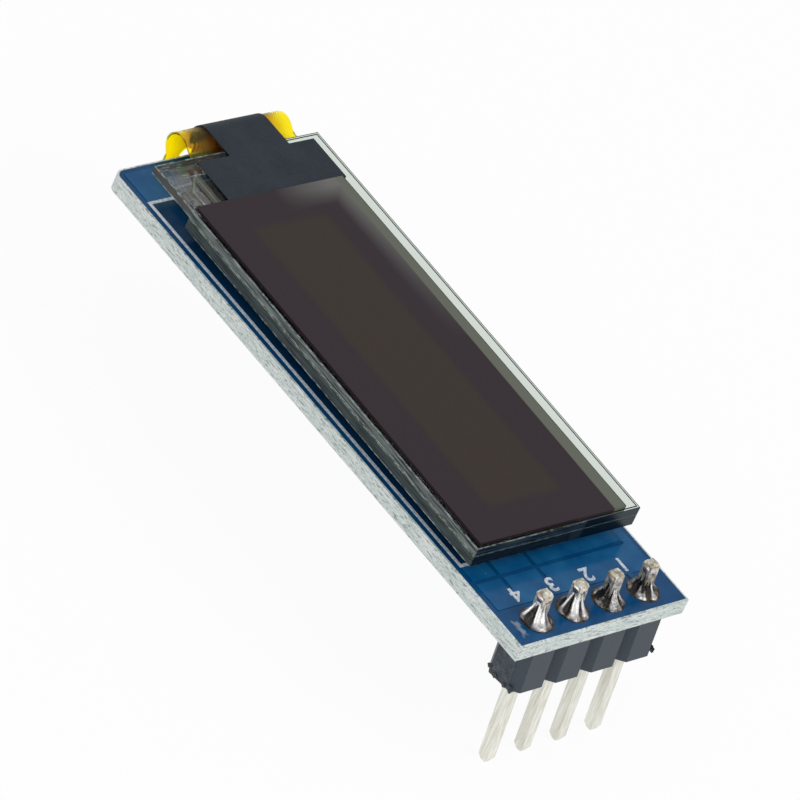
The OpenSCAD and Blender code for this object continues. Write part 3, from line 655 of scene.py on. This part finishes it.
# %% [markdown]
# ## The chips
#
# Ceramic chips have a coloured body between two tinned ends. The ends could be solids of their
# own, but they are no more than a skin. So they are told apart by place, as the part of each chip
# beyond a set share of the way from its middle to its end. As those ends lie in different places,
# each chip has a finish of its own.

# %% Chips
TIN, SPECKLE = rgb(196, 198, 196), rgb(20, 18, 16)
END_SHARE, END_FADE = 0.6, 0.02
CERAMICS = {"capacitor": (8, rgb(176, 142, 98)), "resistor": (4, rgb(30, 30, 33))}


def numbered(stem, count):
    return [f"{stem}_{k}" for k in range(1, count + 1)]


def chip(name, node, body):
    material, tree = start(name)
    x, y, _ = tree.axes()
    low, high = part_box(node)
    middle, half = (low + high) / 2 / MM, (high - low) / 2 / MM
    lies_along_x = half.x > half.y
    away = abs(x - middle.x) / half.x if lies_along_x else abs(y - middle.y) / half.y
    tinned = ramp(away, END_SHARE - END_FADE, END_SHARE + END_FADE)
    speckle = tree.grain((14, 14, 14))
    colour = tree.mix(tinned, tree.mix(speckle, body, SPECKLE), TIN)
    normal = tree.bump(speckle, 0.004)
    return finish(material, tree, colour, rough=0.4, metal=tinned, normal=normal)


chip_finishes = {}
for stem, (count, body) in CERAMICS.items():
    for name in numbered(stem, count):
        chip_finishes[name] = chip(f"{name}_finish", name, body)
print(f"{len(chip_finishes)} chips")

# %% [markdown]
# ## Dressing the solids
#
# Each solid could be given its finish as soon as that is made, but in one table it is easy to see
# what wears what. A solid's old finish is taken off first. The plain solder joints are left out,
# because the next steps replace them.

# %% Give each solid its finish
PIN_COUNT, LEAD_COUNT = 4, 3
FINISH_OF = {
    "board": board_finish,
    "solder_mask_top": front_lacquer,
    "solder_mask_bottom": rear_lacquer,
    "legend_frame": ink_finish,
    "copper_top": foil,
    "copper_bottom": foil,
    "hole_plating": plating,
    "header_insulator": header_finish,
    "foam_tape": foam,
    "cap_glass": cap_pane,
    "desiccant": drying_sheet,
    "seal_ring": seal_finish,
    "cathode": cathode,
    "pixel_layer": layers,
    "front_glass": front_pane,
    "panel_wiring": wiring,
    "polariser": film_finish,
    "driver_chip": silicon,
    "light_tape": tape,
    "flex_tracks": conductors,
    "flex_film": film,
    "flex_cover": cover,
    "flex_solder": rear_solder,
    "chip_solder": rear_solder,
    "regulator_body": epoxy,
    **dict.fromkeys(numbered("pin", PIN_COUNT), pin_plate),
    **dict.fromkeys(numbered("regulator_lead", LEAD_COUNT), leads),
    **chip_finishes,
}
for name, material in FINISH_OF.items():
    nodes[name].data.materials.clear()
    nodes[name].data.materials.append(material)
print(f"{len(FINISH_OF)} solids dressed, not {sorted(set(nodes) - set(FINISH_OF))}")

# %% [markdown]
# ## Hand-made solder joints
#
# Solder climbs a square pin and freezes as it is drawn up, which leaves flutes on its skirt and a
# bulb near the top. The iron left from one side, so each skirt is fuller there, like a sail. The
# solids hold a plain version. Sculpting would give one joint, and a displaced cone would have no
# bulb. So each joint is built again from fine rings: the radius at a height comes from one
# profile, which starts lower or higher from joint to joint, and the sail, the flutes and a little
# noise alter it.

# %% Profile and sail
PROFILE = [(0, 1), (0.04, 0.94), (0.14, 0.78), (0.28, 0.6), (0.44, 0.45), (0.58, 0.38)]
PROFILE += [(0.7, 0.37), (0.8, 0.43), (0.9, 0.46), (0.97, 0.4), (1, 0.2)]
SAIL, SAIL_ANGLE, SAIL_TOP = 0.38, math.radians(115), 0.75


def profile(height):
    """Radius at a height, both as shares, along the lines between the points of PROFILE."""
    for (low, a), (high, b) in zip(PROFILE, PROFILE[1:]):
        if height <= high:
            return a + (b - a) * ((height - low) / (high - low))
    return PROFILE[-1][1]


def sail(height, angle):
    """How much fuller the skirt is on the side that the iron left from."""
    facing = max(0, math.cos(angle - SAIL_ANGLE)) ** 2
    return 1 + SAIL * facing * math.sin(math.pi * min(1, height / SAIL_TOP))


print(f"a joint is thinnest at {min(radius for _, radius in PROFILE[:-1]):.2f} of its foot")

# %% [markdown]
# The flutes are two waves round the pin, one coarse and one fine, that wander as they climb. Noise
# decides where they are deep. The numbers that multiply the seed only set the joints apart.

# %% Flutes
COARSE, FINE, FINE_SHARE = 5, 9, 0.6
WANDER, WANDER_WAVES = 0.7, 1.6
MIDDLE, WAVE_SHARE, PATCH_SHARE, PATCH_WAVES = 0.42, 0.34, 0.9, 1.4
FLUTE = 0.34
FADE_START, FADE_END, FADE_LEAST = 0.06, 0.82, 0.25
SLUMP, SLUMP_STEP = 0.85, 0.1


def groove(height, angle, seed):
    """How deep the surface lies at a place, from 0 on a ridge to 1 in a flute."""
    wander = WANDER * noise.noise(Vector((seed * 7.3, height * WANDER_WAVES, 0)))
    wave = math.sin(COARSE * angle + seed * 2.1 + wander)
    wave += FINE_SHARE * math.sin(FINE * angle - seed + wander)
    x, y = math.cos(angle) * PATCH_WAVES, math.sin(angle) * PATCH_WAVES
    patch = noise.noise(Vector((x, y, seed * 5 + height)))
    return min(1, max(0, MIDDLE + WAVE_SHARE * wave + PATCH_SHARE * patch))


def skin(height, angle, seed):
    """Radius at a place, as a share of the foot's, and how deep its flute is there."""
    cut = groove(height, angle, seed)
    fade = math.sin(math.pi * min(1, height / FADE_END + FADE_START)) + FADE_LEAST
    radius = profile(height ** (SLUMP + SLUMP_STEP * seed)) * sail(height, angle)
    return radius * (1 - FLUTE * cut * fade), cut * min(1, fade)


# %% [markdown]
# The mesh is a stack of rings along the leaning pin. Its foot is centred on the hole instead, and
# moves over to the pin in the first tenth of its height. Each vertex also stores how deep its
# flute is and how high it lies, so that the shader can paint shade into the flutes and burn the
# tip.

# %% Build a joint
SIDES, RINGS = 96, 56
SUNK, FOOT = 0.03, 0.1
pin_axis = next(m["axis"] for m in frame["record"]["mounts"] if m["name"] == "pin_header")
lean = Vector((pin_axis[0] / pin_axis[2], 0, 1))
print(f"pins lean by {math.degrees(math.atan(lean.x)):.1f} degrees")


def ring_faces(last):
    """Faces between the rings, from the top ring to the last point, and under the foot."""
    faces = []
    for ring in range(RINGS):
        a, b = ring * SIDES, (ring + 1) * SIDES
        for side in range(SIDES):
            after = (side + 1) % SIDES
            faces.append((a + side, a + after, b + after, b + side))
    top = RINGS * SIDES
    faces += [(top + k, top + (k + 1) % SIDES, last) for k in range(SIDES)]
    return faces + [tuple(range(SIDES - 1, -1, -1))]


def solder_mesh(name, low, high, seed):
    base = Vector(((low.x + high.x) / 2, (low.y + high.y) / 2, mask_top * MM - SUNK * MM))
    foot, tall = (high.y - low.y) / 2, high.z - base.z
    pin_foot = Vector((lean.x * base.z, base.y, base.z))
    points, deep, heights = [], [], []
    for ring in range(RINGS + 1):
        height = ring / RINGS
        centre = pin_foot + lean * (height * tall)
        if height < FOOT:
            centre.x += (base.x - pin_foot.x) * (1 - height / FOOT)
        for side in range(SIDES):
            angle = math.tau * side / SIDES
            radius, cut = skin(height, angle, seed)
            points.append(centre + Vector((math.cos(angle), math.sin(angle), 0)) * radius * foot)
            deep.append(cut)
            heights.append(height)
    points.append(pin_foot + lean * tall)
    mesh = bpy.data.meshes.new(name)
    mesh.from_pydata([tuple(p) for p in points], [], ring_faces(len(points) - 1))
    for key, values in (("groove", deep + [0]), ("height", heights + [1])):
        mesh.attributes.new(key, "FLOAT", "POINT").data.foreach_set("value", values)
    mesh.polygons.foreach_set("use_smooth", [True] * len(mesh.polygons))
    return mesh


# %% [markdown]
# The solder is bright on its ridges, and painted shade darkens its flutes. It has scorched flux on
# the tip, and round the foot it is painted a darker brown. One finish with a single number for
# grain
# does for all four joints: the second froze grainy and the first a little, and on the others hardly
# any of the grain shows. Its fades are shares of a joint's height.

# %% Solder finish
SHINY, FLUTE_SHADE_AND_GRAIN = rgb(228, 226, 224), rgb(30, 29, 30)
SCORCHED, FOOT_BROWN = rgb(150, 106, 58), rgb(50, 41, 34)
TIP_FADE, FOOT_FADE = (1.02, 1.16), (0.04, 0.3)
GRAINY = {0: 0.4, 1: 0.85}
HARDLY_GRAINY = 0.1


def solder(name, grainy):
    material, tree = start(name)
    deep = tree.node("Attribute", {"attribute_name": "groove"}).out("Fac")
    height = tree.node("Attribute", {"attribute_name": "height"}).out("Fac")
    crumb = tree.grain((9, 9, 9), detail=5, rough=0.7)
    scorch = tree.grain((3.5, 3.5, 3.5))
    # Painted shade darkens the flutes, and on grainy joints the grain adds dark crumbs.
    dark = (ramp(deep, 0.24, 0.52) * 0.94 + ramp(crumb, 0.45, 0.65) * grainy).clip()
    burnt = ramp(height + scorch * 0.3, *TIP_FADE)
    # Round the foot the solder is painted a darker brown.
    foot = fading(height, *FOOT_FADE) * ramp(scorch, 0.32, 0.55)
    colour = tree.mix(dark, SHINY, FLUTE_SHADE_AND_GRAIN)
    colour = tree.mix(burnt * 0.85, colour, SCORCHED)
    colour = tree.mix(foot * 0.85, colour, FOOT_BROWN)
    stain = burnt.highest(foot)
    rough = 0.16 + dark * 0.14 + stain * 0.3 + grainy * 0.25
    normal = tree.bump(crumb, 0.012 + 0.03 * grainy)
    return finish(material, tree, colour, rough=rough, metal=1 - stain * 0.7, normal=normal)


# %% [markdown]
# Each new joint takes its foot and its height from the plain one's box and stands in for it. The
# plain one stays in the solid model, hidden, and still counts where things touch.


# %% Place the joints
def new_piece(name, mesh, material):
    piece = bpy.data.objects.new(name, mesh)
    bpy.context.scene.collection.objects.link(piece)
    piece.data.materials.append(material)
    return piece


for k in range(PIN_COUNT):
    name = f"drawn_joint_{k + 1}"
    mesh = solder_mesh(name, *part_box(f"solder_joint_{k + 1}"), k)
    joint_finish = solder(f"joint_solder_{k + 1}", GRAINY.get(k, HARDLY_GRAINY))
    piece = new_piece(name, mesh, joint_finish)
    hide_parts(f"solder_joint_{k + 1}")
    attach(piece, "root")
print(f"{PIN_COUNT} joints of {SIDES} x {RINGS} faces stand in for the plain ones")

# %% [markdown]
# ## Plain numbers by the pins
#
# Each pin gets its number in the same white ink as the frame line. It could be painted into the
# lacquer, but real ink has a thickness. So a text object is made as thick as ink, turned into a
# mesh, laid on the lacquer and turned so that it reads from the far end of the board.

# %% Numbers
NUMBER_SIZE, NUMBER_BOLD = 1.35, 0.03
NUMBER_FROM_HOLE = 1.95
INK_T = 0.02


def number(text, x, y):
    letter = bpy.data.curves.new(f"number_{text}", "FONT")
    letter.body, letter.size = text, NUMBER_SIZE * MM
    letter.extrude = INK_T / 2 * MM
    letter.offset = NUMBER_BOLD * MM
    letter.align_x, letter.align_y = "CENTER", "CENTER"
    source = bpy.data.objects.new("letter", letter)
    mesh = bpy.data.meshes.new_from_object(source)
    bpy.data.objects.remove(source)
    at = Matrix.Translation((x, y, (mask_top + INK_T / 2) * MM))
    mesh.transform(at @ Matrix.Rotation(math.radians(90), 4, "Z"))
    piece = new_piece(f"pin_number_{text}", mesh, ink_finish)
    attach(piece, "root")


hole_low, hole_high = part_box("hole_plating")
label_x = (hole_low.x + hole_high.x) / 2 + NUMBER_FROM_HOLE * MM
for k in range(PIN_COUNT):
    low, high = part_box(f"pin_{k + 1}")
    number(str(k + 1), label_x, (low.y + high.y) / 2)
print(f"numbers 1 to {PIN_COUNT} at x {label_x / MM:.2f} mm")

# %% [markdown]
# ## Crumbs where the strip was snapped
#
# Snapped plastic leaves small crumbs along the lower edge of each end. They stand out from it, so
# a bump in the finish wouldn't do. Each is a small ball, flattened, pushed in and out by noise and
# half sunk in the plastic, so that it reads as torn off. Its place and size are typed in, because
# no solid says where the plastic tore.

# %% Crumbs
CRUMBS = [(-0.95, 0.25, 0.2), (-0.45, 0.15, 0.14), (0.3, 0.12, 0.17), (0.85, 0.3, 0.14)]
CRUMB_WAVES, CRUMB_DENT, CRUMB_FLAT = 1.7, 0.55, 0.5


def crumb_mesh(name, centre, radius, seed):
    shape = bmesh.new()
    bmesh.ops.create_icosphere(shape, subdivisions=3, radius=radius)
    shift = Vector((seed * 9.1, 0, 0))
    for vert in shape.verts:
        wave = noise.noise(vert.co / radius * CRUMB_WAVES + shift)
        vert.co *= 1 + CRUMB_DENT * wave
        vert.co.y *= CRUMB_FLAT
        vert.co += centre
    mesh = bpy.data.meshes.new(name)
    shape.to_mesh(mesh)
    shape.free()
    return mesh


low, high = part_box("header_insulator")
for side, edge in ((0, low.y), (1, high.y)):
    for k, (x, z, radius) in enumerate(CRUMBS):
        name = f"snap_crumb_{side * len(CRUMBS) + k + 1}"
        centre = Vector((x * MM + lean.x * z * MM, edge, z * MM))
        mesh = crumb_mesh(name, centre, radius * MM, side * 10 + k)
        piece = new_piece(name, mesh, header_finish)
        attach(piece, "root")
print(f"{2 * len(CRUMBS)} crumbs")

# %% [markdown]
# ## Camera
#
# A long lens from high on one side, rolled so that the board runs from corner to corner. It could
# be placed by hand and turned to its target, but an aim point, two angles, a roll and a distance
# can each be changed without the others.

# %% Camera
AIM = Vector((16.499, 0.791, 3.787)) * MM
AZIMUTH, ELEVATION, ROLL = (math.radians(a) for a in (126.075, 37.206, 25.359))
DISTANCE = 398.82 * MM
FOCAL_LENGTH, SENSOR = 339.05, 36
lens = bpy.data.cameras.new("camera")
lens.lens, lens.sensor_width = FOCAL_LENGTH, SENSOR
lens.clip_start, lens.clip_end = 0.01, 10
camera = bpy.data.objects.new("camera", lens)
bpy.context.scene.collection.objects.link(camera)
bpy.context.scene.camera = camera
level = math.cos(ELEVATION)
back = Vector((level * math.cos(AZIMUTH), level * math.sin(AZIMUTH), math.sin(ELEVATION)))
right = Vector((0, 0, 1)).cross(back).normalized()
above = back.cross(right)
turned = right * math.cos(ROLL) + above * math.sin(ROLL)
rolled = above * math.cos(ROLL) - right * math.sin(ROLL)
axes = Matrix((turned, rolled, back)).transposed().to_4x4()
camera.matrix_world = Matrix.Translation(AIM + back * DISTANCE) @ axes
print(f"camera {DISTANCE / MM:.0f} mm away")

# %% [markdown]
# ## Studio
#
# The floor is white and keeps a faint shadow. It could be lit until it is white, but that would
# wash out the object too. So what is seen of it is mostly plain white, and a small share of it is
# a lit surface.

# %% Floor
WHITE = (1, 1, 1, 1)
FLOOR_TONE = (0.94, 0.94, 0.94, 1)
FLOOR_SIZE, FLOOR_GAP = 4, 0.05
PLAIN_SHARE = 0.94


def seen_directly(tree):
    """1 for what the camera sees itself, in a reflection or through glass."""
    path = tree.node("LightPath")
    through = path.out("Is Glossy Ray").highest(path.out("Is Transmission Ray"))
    return path.out("Is Camera Ray").highest(through)


floor_z = cad_box[0].z - FLOOR_GAP * MM
bpy.ops.mesh.primitive_plane_add(size=FLOOR_SIZE, location=(0, 0, floor_z))
floor = bpy.context.object
floor.name = "floor"
floor_material, tree = start("floor_white")
shadowed = tree.node("BsdfDiffuse", {}, {"Color": FLOOR_TONE})
plain_white = tree.node("Emission", {}, {"Color": WHITE, "Strength": 1})
share = seen_directly(tree) * PLAIN_SHARE
shown = tree.node("MixShader", {}, {0: share, 1: shadowed, 2: plain_white})
tree.node("OutputMaterial", {}, {"Surface": shown})
floor.data.materials.append(floor_material)
print(f"floor at {floor_z / MM:.2f} mm")

# %% [markdown]
# The world is white too, to the camera, in reflections and through glass, so that metal and glass
# show the same room that surrounds them. Only its soft light on dull surfaces is turned down, or
# the lamps would have nothing to add.

# %% Room
AMBIENT = 0.62
world = bpy.data.worlds.new("room")
bpy.context.scene.world = world
world.use_nodes = True
tree = Tree(world.node_tree)
direct = seen_directly(tree)
strength = direct + (1 - direct) * AMBIENT
sky = tree.node("Background", {}, {"Color": WHITE, "Strength": strength})
tree.node("OutputWorld", {}, {"Surface": sky})
print(f"ambient level {AMBIENT}")

# %% [markdown]
# Two round soft lamps give the light a direction. The stronger one shines along the board from the
# pins' end, and the weaker one lifts the side that faces the camera. Small hard lamps would throw
# sharp shadows, which don't suit so small an object.


# %% Lamps
def lamp(name, at, watts, width):
    light = bpy.data.lights.new(name, "AREA")
    light.energy, light.size, light.shape = watts, width, "DISK"
    holder = bpy.data.objects.new(name, light)
    bpy.context.scene.collection.objects.link(holder)
    holder.location = Vector(at)
    holder.rotation_euler = (AIM - Vector(at)).to_track_quat("-Z", "Y").to_euler()


lamp("key", at=(-0.28, -0.1, 0.3), watts=0.45, width=0.22)
lamp("fill", at=(-0.05, 0.36, 0.16), watts=0.19, width=0.25)
print("two soft lamps")

# %% [markdown]
# ## Close
#
# The view transform stays the plain one, which shows colours as they are written.

# %% Keep the plain view transform
bpy.context.scene.view_settings.view_transform = "Standard"
